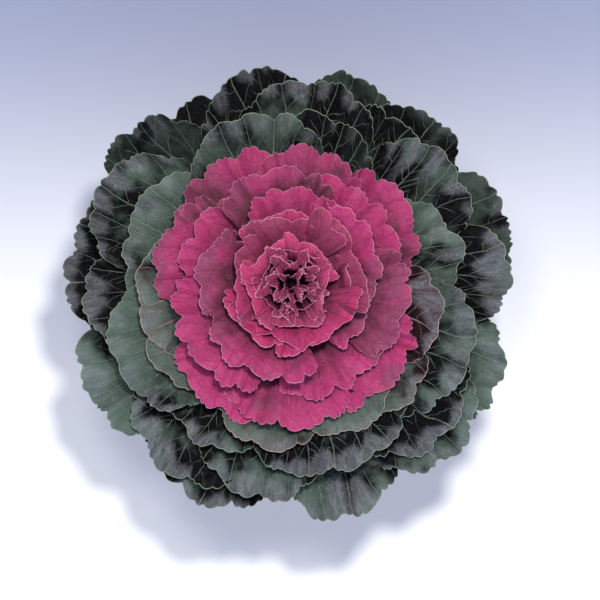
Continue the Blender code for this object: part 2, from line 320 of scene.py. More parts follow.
def leaf_material(name, skin):
    """A leaf's skin, from dark at its base to its full colour at the rim. The dark is partly the
    leaf's own colour and partly painted shade, and painted light and a painted sheen lie on the
    paler parts. build_leaf says what the three attributes hold."""
    s = Shader(name)
    cell, out, width = s.attribute("leaf_cell")
    rim, tone, under = s.attribute("leaf_edge")
    # Painted shade, on the +Y side and where other leaves cover the blade.
    side_shade_and_tone, cover_shade, _ = s.attribute("leaf_tint")
    place = s.place()
    patches = s.noise(place, PATCH_PACE, 3.0, 0.55)
    mottle = s.noise(place, MOTTLE_PACE, 3.0, 0.6)
    grain = s.noise(place, GRAIN_PACE, 2.0, 0.6)
    bent = s.times_plus(mottle, 0.10, s.minus(cell, 0.05))
    veins = vein_lines(s, bent, out, width, tone)
    wander = s.node("ShaderNodeVectorMath", operation="MULTIPLY_ADD")
    s.feed(wander.inputs[0], s.vector(mottle, patches, grain))
    wander.inputs[1].default_value = (0.010, 0.030, 0.002)
    s.feed(wander.inputs[2], place)
    net = s.smooth(s.cells(wander.outputs[0], NET_PACE), 0.0, 0.085, 1.0, 0.0)

    # Streaks that follow the veins, strongest towards the base, and a brushed, shorter grain.
    seed = s.times(tone, 40.0)
    streaks = s.noise(
        s.vector(s.times(cell, skin.pace), s.times(out, 2.4), seed),
        1.0, 3.0, 0.6)
    brushed = s.noise(
        s.vector(s.times(cell, 5.0), s.times(out, 5.0), seed), 1.0, 5.0, 0.72)
    streaked = s.times(
        s.smooth(streaks, 0.42, 0.68, 0.0, skin.streak),
        s.smooth(out, 0.35, 1.0, 1.0, 0.25))

    # From the deep colour at the base to the blade's: the dark base is partly the leaf's own colour
    # and partly painted shade.
    ripeness_and_shade = s.times_plus(brushed, 0.45, out)
    ripeness_and_shade = s.times_plus(patches, 0.40, s.minus(ripeness_and_shade, 0.325))
    # Painted shade: the parts that other leaves cover are darker.
    cover_shade_share = s.smooth(
        s.times_plus(brushed, 0.5, s.minus(cover_shade, 0.25)), 0.08, 0.62)
    ripeness_and_shade = s.times_plus(cover_shade_share, -skin.shade, ripeness_and_shade)
    # Painted shade on the +Y side, with some of the leaf's own darker tone, takes the dark base
    # further out.
    ripeness_and_shade = s.times_plus(side_shade_and_tone, -0.70, ripeness_and_shade)
    # Painted light and shade on the panels between the veins: their crowns are palest and their
    # flanks by the veins darker. The crowns carry most of the bloom.
    crown = s.smooth(s.math("PINGPONG", cell, 0.5), 0.0, 0.40)
    ripeness_and_shade = s.times_plus(s.minus(crown, 0.6), 0.5 * skin.panel, ripeness_and_shade)
    body = s.mix(s.smooth(ripeness_and_shade, skin.rise_at, skin.full_at), skin.deep, skin.blade)
    # Fresh colour in random patches, with painted light: strongest towards the rim and weakened by
    # the painted shade on the +Y side.
    lit = s.smooth(s.times_plus(tone, 0.32, patches), 0.57, 0.75)
    lit = s.times(lit, s.smooth(out, 0.35, 0.95, 0.0, 0.9))
    lit = s.times(lit, s.smooth(side_shade_and_tone, 0.2, 0.9, 1.0, 0.25))
    body = s.mix(lit, body, skin.fresh)
    # The wax bloom, partly a painted sheen, on the palest parts of the blade.
    bloom_and_sheen = s.times(
        s.smooth(brushed, 0.34, 0.78), s.smooth(ripeness_and_shade, 0.55, 1.15, 0.0, skin.panel))
    body = s.mix(bloom_and_sheen, body, skin.bloom)
    body = s.mix(streaked, body, skin.deep)
    # The net and the veins fade where the leaf is dark, painted shade included.
    faint = s.times(
        s.smooth(out, 0.3, 0.9, 0.25, 1.0), s.smooth(ripeness_and_shade, 0.3, 0.9, 0.08, 1.0))
    body = s.mix(s.times(net, s.times(faint, skin.net)), body, skin.vein)
    drawn = s.smooth(out, 0.2, 0.8, 0.6 * skin.vein_share, skin.vein_share)
    drawn = s.times(drawn, s.smooth(ripeness_and_shade, 0.2, 0.85, 0.62, 1.0))
    colour = s.mix(s.times(veins, drawn), body, skin.vein)
    reverse = s.mix(s.times(veins, 0.8), skin.back, skin.rim)
    colour = s.mix(under, colour, reverse)
    pale_rim = s.smooth(rim, 0.4 * skin.rim_width, 1.7 * skin.rim_width, 0.9, 0.0)
    colour = s.mix(pale_rim, colour, skin.rim)

    height = s.times_plus(veins, 0.50, s.times(net, -0.12))
    height = s.times_plus(brushed, 0.55, height)
    height = s.times_plus(grain, 0.15, height)
    height = s.times_plus(mottle, 1.1, height)
    height = s.times_plus(streaked, -0.45, height)
    normal = s.bump(height, skin.relief, 1.0)
    roughness = s.smooth(mottle, 0.3, 0.7, 0.42, 0.60)
    return s.finish(
        colour, roughness, normal, Specular_IOR_Level=skin.gloss, Subsurface_Weight=0.04,
        Subsurface_Scale=1.2 * MM)


def clay_material():
    """Fired clay: warm and matt, with darker and paler firing, a chalky bloom and fine pits."""
    s = Shader("fired_clay")
    place = s.place()
    height = s.apart(place)[2]
    firing = s.noise(place, 9.0, 4.0, 0.55)
    speckle = s.noise(place, 900.0, 2.0, 0.7)
    cloud = s.noise(place, 42.0, 5.0, 0.65)
    body = s.mix(s.smooth(firing, 0.32, 0.68), (0.34, 0.115, 0.052), (0.52, 0.205, 0.098))
    body = s.mix(s.smooth(speckle, 0.58, 0.74, 0.0, 0.45), body, (0.17, 0.055, 0.03))
    body = s.mix(s.smooth(speckle, 0.30, 0.42, 0.30, 0.0), body, (0.66, 0.42, 0.28))
    damp = s.smooth(s.times_plus(cloud, 0.035, height), 0.018, 0.052, 0.55, 0.0)
    body = s.mix(damp, body, (0.20, 0.070, 0.036))
    salts = s.times(s.smooth(cloud, 0.46, 0.74), s.smooth(height, 0.03, 0.12, 0.42, 0.16))
    body = s.mix(salts, body, (0.66, 0.56, 0.47))
    pits = s.smooth(s.cells(place, 520.0, "F1"), 0.05, 0.22)
    relief = s.times_plus(speckle, 0.5, s.times(pits, 0.6))
    relief = s.times_plus(cloud, 0.6, relief)
    roughness = s.smooth(cloud, 0.4, 0.7, 0.78, 0.95)
    return s.finish(body, roughness, s.bump(relief, 0.25 * MM, 0.8), Specular_IOR_Level=0.25)


def peat_material():
    """Damp potting mix: near-black peat with brown fibres."""
    s = Shader("peat")
    place = s.place()
    clods = s.noise(place, 170.0, 4.0, 0.7)
    fibres = s.noise(place, 700.0, 3.0, 0.7)
    body = s.mix(s.smooth(clods, 0.35, 0.65), (0.012, 0.008, 0.006), (0.052, 0.031, 0.019))
    body = s.mix(s.smooth(fibres, 0.56, 0.72, 0.0, 0.8), body, (0.13, 0.075, 0.042))
    relief = s.times_plus(fibres, 0.5, clods)
    return s.finish(body, s.smooth(clods, 0.3, 0.7, 0.7, 0.95), s.bump(relief, 0.8 * MM, 1.0))


def perlite_material():
    s = Shader("perlite")
    place = s.place()
    bubbles = s.cells(place, 1100.0, "F1")
    body = s.mix(s.smooth(s.noise(place, 260.0), 0.3, 0.7), (0.60, 0.58, 0.53), (0.86, 0.85, 0.82))
    return s.finish(body, s.smooth(bubbles, 0.1, 0.5, 0.8, 0.95), s.bump(bubbles, 0.2 * MM, 0.7))


def bark_material(heart_foot):
    """The stem's skin: corky brown low down, grey-green above, and crimson under the heart. Fine
    cracks run along it."""
    s = Shader("stem_bark")
    place = s.place()
    x, y, height = s.apart(place)
    stretched = s.vector(x, y, s.times(height, 0.22))
    cracks = s.noise(stretched, 420.0, 4.0, 0.7)
    cork = s.noise(place, 90.0, 3.0, 0.6)
    young = s.smooth(s.times_plus(cork, 0.02, height), 0.135, 0.175)
    body = s.mix(young, (0.19, 0.13, 0.085), (0.21, 0.24, 0.14))
    body = s.mix(s.smooth(cracks, 0.50, 0.68, 0.0, 0.85), body, (0.050, 0.034, 0.024))
    body = s.mix(s.smooth(cork, 0.55, 0.72, 0.0, 0.5), body, (0.36, 0.30, 0.21))
    tip = s.smooth(height, heart_foot - 12 * MM, heart_foot - 4 * MM)
    body = s.mix(tip, body, (0.060, 0.006, 0.016))
    relief = s.times_plus(cork, 0.5, s.times(cracks, -1.0))
    return s.finish(body, s.smooth(cork, 0.3, 0.7, 0.65, 0.85), s.bump(relief, 0.7 * MM, 0.9))


# ---------------------------------------------------------------- reading the frame

def node_points(name):
    """The points of a CAD node, one to a row."""
    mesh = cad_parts[name].data
    points = np.empty(3 * len(mesh.vertices))
    mesh.vertices.foreach_get("co", points)
    return points.reshape(-1, 3)


def node_tree(names):
    """A tree of the surfaces of these CAD nodes, to cast rays at."""
    points, faces = [], []
    for name in names:
        start = len(points)
        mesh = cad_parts[name].data
        points += [tuple(v.co) for v in mesh.vertices]
        faces += [tuple(start + i for i in p.vertices) for p in mesh.polygons]
    return BVHTree.FromPolygons(points, faces)


def read_leaf(name):
    """A CAD leaf's place, size and surface, from its solid."""
    points = node_points(name)
    radius = np.hypot(points[:, 0], points[:, 1])
    foot = points[radius < radius.min() + FOOT_DEPTH]
    azimuth = math.atan2(foot[:, 1].mean(), foot[:, 0].mean())
    along = points[:, 0] * math.cos(azimuth) + points[:, 1] * math.sin(azimuth)
    across = points[:, 1] * math.cos(azimuth) - points[:, 0] * math.sin(azimuth)
    reach = along.max()
    foot_across = foot[:, 1] * math.cos(azimuth) - foot[:, 0] * math.sin(azimuth)
    solid = node_tree([name])

    def top(distance, angle):
        turned = azimuth + angle
        start = Vector((distance * math.cos(turned), distance * math.sin(turned), 1.0))
        return solid.ray_cast(start, Vector((0, 0, -1)))[0].z

    sampled = np.linspace(radius.min() + 0.5 * MM, reach - 0.5 * MM, MIDLINE_RAYS)
    fitted = np.polyfit(sampled, [top(r, 0.0) for r in sampled], FIT_DEGREE)
    radii = np.linspace(radius.min(), reach * OVERRUN, OUTLINE_POINTS)
    heights = np.polyval(fitted, radii)
    side, far = 0.1, 0.7 * reach
    lean = (top(far, side) - top(far, -side)) / (2 * side)
    return Leaf(
        azimuth=azimuth, foot=radius.min(), reach=reach,
        half_width=np.abs(across).max() / math.sin(SHOULDER_ANGLE),
        distances=radii, radii=radii, heights=heights, lean=lean,
        stalk=2 * np.abs(foot_across).max(), rib=foot[:, 2].max() - foot[:, 2].min())


# ---------------------------------------------------------------- leaves

def wave(values, seed, octaves=3):
    """A smooth, seeded wave in one dimension, from about -1 to 1."""
    rng = np.random.default_rng(seed)
    total = np.zeros_like(values)
    for octave in range(octaves):
        pace = rng.uniform(0.8, 1.3) * 2.0**octave
        total += np.sin(values * pace * 2 * math.pi + rng.uniform(0, 2 * math.pi)) / 1.7**octave
    return total / 1.6


def ripple(x, y, seed, octaves=4):
    """Smooth, seeded unevenness in two dimensions, from about -1 to 1. x and y are in waves."""
    rng = np.random.default_rng(seed)
    total = np.zeros_like(x)
    for octave in range(octaves):
        for _ in range(3):
            turn = rng.uniform(0, 2 * math.pi)
            pace = 2 * math.pi * 1.9**octave
            phase = rng.uniform(0, 2 * math.pi)
            total += np.sin(pace * (x * math.cos(turn) + y * math.sin(turn)) + phase) / 1.8**octave
    return total / 3.2


def scallops(position, sharpness):
    """1 on the round of a scallop and 0 in the notch between two."""
    return np.abs(np.sin(math.pi * position)) ** sharpness


def leaf_grid(leaf, form, seed):
    """The leaf's plan, which is along and across for each row and column. With it come each row's
    share of the way out, each column's share of the way across, lobe and scallop, and the lengths
    of the rim and the blade."""
    rng = np.random.default_rng(seed)
    neck_along = leaf.foot + STALK_SHARE * (leaf.reach - leaf.foot)
    length = leaf.reach - neck_along
    arc = SHOULDER_ANGLE * (length * RIM_DEPTH + leaf.half_width)
    columns = max(24, int(arc / form.spacing))
    blade_rows = max(18, int(0.8 * length / form.spacing))
    stalk_rows = max(6, int(0.6 * (neck_along - leaf.foot) / form.spacing))
    v = np.linspace(-1, 1, columns + 1)
    t = 1 - (1 - np.linspace(0, 1, blade_rows + 1)) ** 1.3
    bent = v + 0.05 * wave(v / 2, rng.integers(SEED_LIMIT), 2) * (1 - v**2)
    angle = SHOULDER_ANGLE * bent
    lobes = max(2, round(arc / form.lobe))
    lobe = lobes * (v + 1) / 2 + 0.28 * wave(v / 2, rng.integers(SEED_LIMIT), 3)
    lobe = lobe + rng.uniform(0, 1)
    scallop = arc / form.scallop * (v + 1) / 2 + 0.8 * wave(v, rng.integers(SEED_LIMIT), 3)
    scallop = scallop + rng.uniform(0, 1)
    edge = 1 + 0.02 * wave(v, rng.integers(SEED_LIMIT), 2)
    edge -= form.lobe_depth * (1 - scallops(lobe, 0.75))
    edge -= form.scallop_depth * (1 - scallops(scallop, 0.8))
    neck = np.stack([np.full_like(v, neck_along), leaf.stalk / 2 * v], 1)
    rim = np.stack([
        leaf.reach - RIM_DEPTH * length * (1 - np.cos(angle)), leaf.half_width * np.sin(angle)], 1)
    rim = neck + (rim - neck) * edge[:, None]
    foot = np.stack([np.sqrt(leaf.foot**2 - (leaf.stalk / 2 * v) ** 2), leaf.stalk / 2 * v], 1)
    s = np.linspace(0, 1, stalk_rows + 1)[:-1]
    stalk = foot + (neck - foot) * s[:, None, None]
    blade = neck + (rim - neck) * t[:, None, None]
    # The sides of the blade are full, not straight from the stalk to the shoulder.
    blade[:, :, 1] += 0.10 * length * np.sin(math.pi * t[:, None] ** 0.8) * v**5
    plan = np.concatenate([stalk, blade])
    share = np.concatenate([np.zeros(stalk_rows), t])
    return plan, share, v, lobe, scallop, arc, length


def room_around(leaf, plan, others):
    """How far the leaf can move along its normal, up and down, before it meets another CAD node."""
    rows = np.linspace(0, len(plan) - 1, ROOM_ROWS).astype(int)
    columns = np.linspace(0, plan.shape[1] - 1, ROOM_COLUMNS).astype(int)
    up, down = np.full((2, ROOM_ROWS, ROOM_COLUMNS), MOST_ROOM)
    for i, row in enumerate(rows):
        for j, column in enumerate(columns):
            point, normal = surface_at(leaf, plan[row : row + 1, column : column + 1])
            point, normal = Vector(point[0, 0]), Vector(normal[0, 0])
            above = others.ray_cast(point + START_OVER * normal, normal, MOST_ROOM)
            below = others.ray_cast(point - START_UNDER * normal, -normal, MOST_ROOM)
            if above[3] is not None:
                up[i, j] = above[3]
            if below[3] is not None:
                down[i, j] = below[3]
    return [spread(eased(room), rows, columns, plan.shape[:2]) for room in (up, down)]


def neighbours(values):
    """Nine copies of a grid, one for each value's own place and the eight round it."""
    padded = np.pad(values, 1, mode="edge")
    rows, columns = values.shape
    return [padded[i : i + rows, j : j + columns] for i in range(3) for j in range(3)]


def eased(room):
    """The least room nearby, softened, so a blade doesn't step where another leaf's rim lies."""
    least = 0.6 * np.min(neighbours(room), axis=0) + 0.4 * room
    return np.minimum(np.mean(neighbours(least), axis=0), room)


def spread(coarse, rows, columns, shape):
    """Coarse values at some rows and columns, spread over the whole grid."""
    half = np.stack([np.interp(np.arange(shape[1]), columns, line) for line in coarse])
    return np.stack([np.interp(np.arange(shape[0]), rows, half[:, j]) for j in range(shape[1])], 1)


def surface_at(leaf, plan):
    """The points of the leaf's bowl over a plan, and the bowl's normals there."""
    along, across = plan[..., 0], plan[..., 1]
    distance = np.hypot(along, across)
    angle = np.arctan2(across, along)
    radius = np.interp(distance, leaf.distances, leaf.radii)
    radius = radius + np.maximum(distance - leaf.distances[-1], 0)
    height = np.interp(distance, leaf.distances, leaf.heights) + leaf.lean * angle
    rise = np.interp(distance, leaf.distances, np.gradient(leaf.heights, leaf.distances))
    run = np.interp(distance, leaf.distances, np.gradient(leaf.radii, leaf.distances))
    slope = np.arctan2(rise, run)
    turned = leaf.azimuth + angle
    point = np.stack([radius * np.cos(turned), radius * np.sin(turned), height], -1)
    normal = np.stack([
        -np.sin(slope) * np.cos(turned), -np.sin(slope) * np.sin(turned), np.cos(slope)], -1)
    return point, normal


def within(move, up, down):
    """A move along the normal, held inside the room there is."""
    up, down = ROOM_SHARE * up + ROOM_SPARE, ROOM_SHARE * down + ROOM_SPARE
    return np.where(move > 0, up * np.tanh(move / up), down * np.tanh(move / down))


def build_leaf(name, leaf, form, material, seed, others=None, side_shade_and_tone=0.0):
    """A leaf in full, as a closed sheet. Its points carry three attributes for its material:
    leaf_cell: the vein cell, the share of the way out, and a cell's width in millimetres;
    leaf_edge: the millimetres to the rim, the leaf's own tone, and 1 on the underside;
    leaf_tint: how far the dark base runs out, which is painted shade on the +Y side with some of
    the leaf's own tone; the painted shade where other leaves cover the point; and a spare number."""
    plan, share, v, lobe, scallop, arc, length = leaf_grid(leaf, form, seed)
    rng = np.random.default_rng(seed + 1)
    t = share[:, None]
    rows, columns = plan.shape[:2]
    point, normal = surface_at(leaf, plan)

    # Vein cells: whole numbers are main veins, and one of them is the midrib.
    cells = max(2, round(arc / form.vein / 2)) * v
    grid_v, grid_t = np.broadcast_to(v, (rows, columns)), np.broadcast_to(t, (rows, columns))
    sway = 0.24 * ripple(1.5 * grid_v, 1.2 * grid_t, seed + 2, 2)
    cell = cells + sway * np.minimum(t * 2, 1) * (1 - 0.5 * np.abs(v))
    cell_width = np.maximum(t * arc / (2 * abs(cells[0])), leaf.stalk / (2 * abs(cells[0])))

    x, y = plan[..., 0], plan[..., 1]
    tone = rng.uniform(0, 1)
    bulge = form.bulge * np.abs(np.sin(math.pi * cell)) ** 0.8 * np.sin(0.86 * math.pi * t**1.1)
    turns = rng.uniform(0, 2 * math.pi)
    fold = form.fold * t**2.2 * (
        0.75 * np.sin(math.pi * lobe + turns)
        + 0.30 * np.cos(2 * math.pi * lobe)
        + 0.7 * wave(v / 2, seed + 3, 2))
    frills = np.sin(0.5 * math.pi * scallop + turns) + 0.6 * np.sin(1.1 * math.pi * scallop)
    frill = form.frill * t**6 * frills
    curl = form.curl * t**8 + form.cup * (t**1.5) * v**2
    crinkle = form.crinkle * np.minimum(2 * t, 1) * ripple(
        x / CRINKLE_WAVE, y / CRINKLE_WAVE, seed + 4, 4)
    lift = 0.35 * form.fold * t**2
    move = (bulge + fold + frill + curl + crinkle + lift) * np.minimum(3 * t, 1)
    # Painted shade where another CAD leaf lies close over the blade.
    cover_shade = np.zeros((rows, columns))
    if others is not None:
        up, down = room_around(leaf, plan, others)
        move = within(move, up, down)
        cover_shade = np.clip(1.35 - up / COVER_SHADE_REACH, 0, 1)
    top = point + normal * move[..., None]

    # Thickness, on the underside: the stalk and midrib, the main veins, the blade.
    rib_half = leaf.stalk / 2 * (1 - t) ** 1.4 + 0.5 * MM
    rib = np.sqrt(np.clip(1 - (y / rib_half) ** 2, 0, 1)) * (leaf.rib * (1 - t) ** 1.2 + LEAST_RIB)
    from_vein = np.abs(cell - np.round(cell)) * cell_width
    ridge = np.exp(-((from_vein / VEIN_RIDGE) ** 2))
    veins = VEIN_RIDGE * (1 - t) ** 0.8 * ridge * np.minimum(4 * t, 1)
    edge = np.minimum((1 - t) * length, (1 - np.abs(v)) * np.maximum(t * arc / 2, leaf.stalk / 2))
    thinning = np.clip(edge / RIM_TAPER, 0.45, 1)
    thickness = form.thickness * thinning + np.maximum(rib, veins)
    bottom = top - normal * thickness[..., None]
    # The foot's end face is upright, against the stem.
    bottom[0] = top[0] - np.array([0, 0, 1]) * thickness[0][:, None]

    vertices = np.concatenate([top.reshape(-1, 3), bottom.reshape(-1, 3)])
    made = add_mesh(name, vertices, sheet_faces(rows, columns), material)
    width = np.broadcast_to(cell_width * 1000, cell.shape)
    cell_data = np.stack([cell, grid_t, width], -1).reshape(-1, 3)
    edge_data = np.stack(
        [edge * 1000, np.full(edge.shape, tone), np.zeros(edge.shape)], -1).reshape(-1, 3)
    under_data = edge_data.copy()
    under_data[:, 2] = 1.0
    set_vectors(made, "leaf_cell", np.concatenate([cell_data, cell_data]))
    set_vectors(made, "leaf_edge", np.concatenate([edge_data, under_data]))
    tint_data = np.stack([np.full(edge.shape, side_shade_and_tone), cover_shade, cover_shade], -1).reshape(-1, 3)
    set_vectors(made, "leaf_tint", np.concatenate([tint_data, tint_data]))
    return made


def sheet_faces(rows, columns):
    """Faces of a closed sheet of two layers of points, the upper one first."""
    layer = rows * columns
    corner = (np.arange(rows - 1)[:, None] * columns + np.arange(columns - 1)).ravel()
    upper = np.stack([corner, corner + columns, corner + columns + 1, corner + 1], 1)
    lower = layer + upper[:, ::-1]
    edge = np.concatenate([
        np.arange(columns - 1),
        np.arange(rows - 1) * columns + columns - 1,
        (rows - 1) * columns + np.arange(columns - 1, 0, -1),
        np.arange(rows - 1, 0, -1) * columns])
    following = np.roll(edge, -1)
    side = np.stack([edge, following, layer + following, layer + edge], 1)
    return np.concatenate([upper, lower, side]).tolist()


def add_object(name, data):
    made = bpy.data.objects.new(name, data)
    bpy.context.scene.collection.objects.link(made)
    return made


def add_mesh(name, vertices, faces, material):
    """A smooth mesh piece that rides on the plant's one body."""
    mesh = bpy.data.meshes.new(name)
    mesh.from_pydata(vertices.tolist(), [], faces)
    mesh.update()
    mesh.shade_smooth()
    mesh.materials.append(material)
    made = add_object(name, mesh)
    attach(made, "root")
    return made


def set_vectors(made, name, values):
    """Give each point of a piece three numbers for its material."""
    layer = made.data.attributes.new(name, "FLOAT_VECTOR", "POINT")
    layer.data.foreach_set("vector", np.ascontiguousarray(values, dtype=np.float32).ravel())


# ---------------------------------------------------------------- the scene

SIDE_SHADE_SEED, HEART_SEED, HEART_LEAF_SEED, SOIL_SEED, CRUMB_SEED, GRAIN_SEED = 5, 31, 900, 77, 12, 13

# Each kind of CAD leaf's form and slot.
FORMS = {
    "skirt_leaf": SKIRT_FORM, "outer_leaf": SKIRT_FORM, "middle_leaf": MIDDLE_FORM,
    "collar_leaf": MIDDLE_FORM, "crown_leaf": CROWN_FORM, "rose_leaf": ROSE_FORM,
    "inner_leaf": INNER_FORM, "centre_leaf": INNER_FORM,
}
SLOTS = {
    "skirt_leaf": "green_leaf", "outer_leaf": "green_leaf", "middle_leaf": "green_leaf",
    "collar_leaf": "green_and_rose_leaf", "crown_leaf": "magenta_leaf", "rose_leaf": "magenta_leaf",
    "inner_leaf": "magenta_leaf", "centre_leaf": "crimson_leaf",
}
LEAF_SKINS = {
    "green_leaf": GREEN_SKIN, "green_and_rose_leaf": ROSY_GREEN_SKIN, "magenta_leaf": MAGENTA_SKIN,
    "crimson_leaf": CRIMSON_SKIN,
}


def leaf_side_shade_and_tone(kind, azimuth, rng):
    """How far a leaf's dark base runs out: painted shade that runs further on the +Y side, most of
    all in green leaves, with a random share of the leaf's own tone.
    """
    if SLOTS[kind] == "green_leaf":
        shade = 0.26 + 0.50 * math.sin(azimuth) + rng.uniform(-0.28, 0.28)
    else:
        shade = 0.18 + 0.22 * math.sin(azimuth) + rng.uniform(-0.15, 0.15)
    return min(1.0, max(0.0, shade))


def build_leaves():
    """A blade for each CAD leaf. Returns the materials, by slot."""
    skins = {slot: leaf_material(f"{slot}_skin", skin) for slot, skin in LEAF_SKINS.items()}
    rng = np.random.default_rng(SIDE_SHADE_SEED)
    for name in sorted(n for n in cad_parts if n.rsplit("_", 1)[0] in FORMS):
        kind = name.rsplit("_", 1)[0]
        leaf = read_leaf(name)
        others = node_tree([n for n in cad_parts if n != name])
        made = build_leaf(
            f"{name}_blade", leaf, FORMS[kind], skins[SLOTS[kind]], zlib.crc32(name.encode()),
            others, leaf_side_shade_and_tone(kind, leaf.azimuth, rng))
        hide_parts(name)
    return skins


# The heart, in rings from the outside in. Angles are in degrees. out and tip are a leaf's slopes
# where it leaves the stem and at its rim, and below is how far its top is under the heart's. The
# first OPEN_RINGS rings have frilled leaves of their own skins, and the rest are the bud.
OPEN_RINGS = 2
SPARE_LENGTH = 0.06
Ring = namedtuple("Ring", "turn count reach unevenness taper breadth below sink out tip foot")
HEART_RINGS = (
    Ring(turn=20, count=5, reach=42 * MM, unevenness=0.13, taper=0.5 * MM, breadth=0.80,
         below=5 * MM, sink=0.0, out=72, tip=24, foot=6.0 * MM),
    Ring(turn=55, count=5, reach=30 * MM, unevenness=0.12, taper=0.8 * MM, breadth=0.80,
         below=1.5 * MM, sink=0.0, out=88, tip=34, foot=5.0 * MM),
    Ring(turn=80, count=5, reach=19 * MM, unevenness=0.08, taper=0.4 * MM, breadth=0.95,
         below=4 * MM, sink=0.3 * MM, out=62, tip=80, foot=3.6 * MM),
    Ring(turn=10, count=5, reach=14 * MM, unevenness=0.06, taper=0.4 * MM, breadth=1.0,
         below=4.5 * MM, sink=0.3 * MM, out=66, tip=84, foot=2.8 * MM),
    Ring(turn=55, count=6, reach=10 * MM, unevenness=0.04, taper=0.9 * MM, breadth=1.0,
         below=5.5 * MM, sink=0.2 * MM, out=72, tip=88, foot=2.0 * MM),
    Ring(turn=0, count=4, reach=4.6 * MM, unevenness=0.04, taper=0.5 * MM, breadth=1.1,
         below=6.5 * MM, sink=0.3 * MM, out=80, tip=88, foot=0.7 * MM),
)


def heart_leaf(ring, number, rng, low, high):
    """The bowl of one of the heart's young leaves, one smooth curve up from the stem."""
    reach = ring.reach - number * ring.taper + rng.uniform(-1, 1) * ring.unevenness * ring.reach
    foot = min(ring.foot, 0.7 * reach)
    foot_height = low.z + 0.5 * MM
    top = high.z - ring.below - number * ring.sink - rng.uniform(0, 1.5) * MM
    q = np.linspace(0, 1, OUTLINE_POINTS)
    out, tip = math.radians(ring.out), math.radians(ring.tip)
    length = math.hypot(reach - foot, top - foot_height)
    ease = 3 * q**2 - 2 * q**3
    start, end = length * (q**3 - 2 * q**2 + q), length * (q**3 - q**2)
    radii = foot + (reach - foot) * ease + math.cos(out) * start + math.cos(tip) * end
    heights = foot_height + (top - foot_height) * ease + math.sin(out) * start + math.sin(tip) * end
    steps = np.hypot(np.diff(radii), np.diff(heights))
    distances = foot + np.concatenate([[0], np.cumsum(steps)])
    reach = distances[-1]
    # A little spare length for lobes that reach past the rim.
    spare = SPARE_LENGTH * reach
    distances = np.append(distances, reach + spare)
    radii = np.append(radii, radii[-1] + spare * math.cos(tip))
    heights = np.append(heights, heights[-1] + spare * math.sin(tip))
    azimuth = math.radians(ring.turn + 360 * number / ring.count + rng.uniform(-10, 10))
    return Leaf(
        azimuth=azimuth, foot=foot, reach=reach, half_width=ring.breadth * reach,
        distances=distances, radii=radii, heights=heights, lean=0.6 * MM, stalk=0.8 * foot,
        rib=1.2 * MM)


def build_heart(outer, inner, bud):
    """The heart's leaves, in the materials of its first ring, its second ring and its bud."""
    low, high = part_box("heart_bud")
    rng = np.random.default_rng(HEART_SEED)
    made_so_far = 0
    for ring_number, ring in enumerate(HEART_RINGS):
        for number in range(ring.count):
            made_so_far += 1
            leaf = heart_leaf(ring, number, rng, low, high)
            skin = (outer, inner, bud)[min(ring_number, OPEN_RINGS)]
            form = HEART_FORM if ring_number < OPEN_RINGS else BUD_FORM
            made = build_leaf(
                f"heart_leaf_{made_so_far:02d}", leaf, form, skin, HEART_LEAF_SEED + made_so_far)
            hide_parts("heart_bud")


# ---------------------------------------------------------------- pot, potting mix and stem

def meridian(name):
    """A turned CAD node's outline on one side of its axis: radius and height, in order along it."""
    points = node_points(name)
    radius = np.hypot(points[:, 0], points[:, 1])
    angle = np.arctan2(points[:, 1], points[:, 0])
    here = np.abs(angle - angle[np.argmax(radius)]) < 0.001
    spots = [(round(r / MM, 1) * MM, round(z / MM, 1) * MM) for r, z in zip(radius, points[:, 2])]
    joined = {}
    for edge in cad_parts[name].data.edges:
        a, b = edge.vertices
        if here[a] and here[b] and spots[a] != spots[b]:
            joined.setdefault(spots[a], set()).add(spots[b])
            joined.setdefault(spots[b], set()).add(spots[a])
    ends = sorted(spot for spot in joined if len(joined[spot]) == 1) or sorted(joined)
    walk = [ends[0]]
    while True:
        onward = sorted(spot for spot in joined[walk[-1]] if spot not in walk)
        if not onward:
            return np.array(walk)
        walk.append(onward[0])


# The points of a rounded corner, and the most of a straight run that it may take up.
ARC_POINTS = 5
TRIM = 0.45


def rounded(outline, radius, closed, step):
    """An outline with its corners rounded by arcs, and its straight runs cut into steps."""
    count = len(outline)
    path = []
    for i, corner in enumerate(outline):
        before, after = outline[i - 1] - corner, outline[(i + 1) % count] - corner
        if not closed and i in (0, count - 1):
            path.append(corner)
            continue
        trim = min(radius, TRIM * np.linalg.norm(before), TRIM * np.linalg.norm(after))
        first = corner + trim * before / np.linalg.norm(before)
        last = corner + trim * after / np.linalg.norm(after)
        for q in np.linspace(0, 1, ARC_POINTS):
            path.append((1 - q) ** 2 * first + 2 * q * (1 - q) * corner + q**2 * last)
    path = np.array(path + path[:1]) if closed else np.array(path)
    fine = [path[:1]]
    for a, b in zip(path[:-1], path[1:]):
        cuts = max(1, int(np.linalg.norm(b - a) / step))
        fine.append(a + (b - a) * (np.arange(1, cuts + 1) / cuts)[:, None])
    fine = np.concatenate(fine)
    return fine[:-1] if closed else fine


def angles_round(sides):
    return 2 * math.pi * np.arange(sides) / sides


def turned_piece(name, radius, height, closed, surface):
    """A closed piece turned about Z. radius and height have a row for each point of its outline and
    a column for each side. An open outline is capped at both ends."""
    radius, height = np.broadcast_arrays(radius, height)
    rows, sides = radius.shape
    angle = angles_round(sides)
    points = np.stack([radius * np.cos(angle), radius * np.sin(angle), height], -1)
    row = np.arange(rows if closed else rows - 1)[:, None]
    side = np.arange(sides)[None, :]
    over, around = (row + 1) % rows, (side + 1) % sides
    faces = np.stack(
        [row * sides + side, row * sides + around, over * sides + around, over * sides + side], -1)
    faces = faces.reshape(-1, 4).tolist()
    if not closed:
        faces += [list(range(sides))[::-1], [(rows - 1) * sides + i for i in range(sides)]]
    made = add_mesh(name, points.reshape(-1, 3), faces, surface)
    outward(made)
    return made


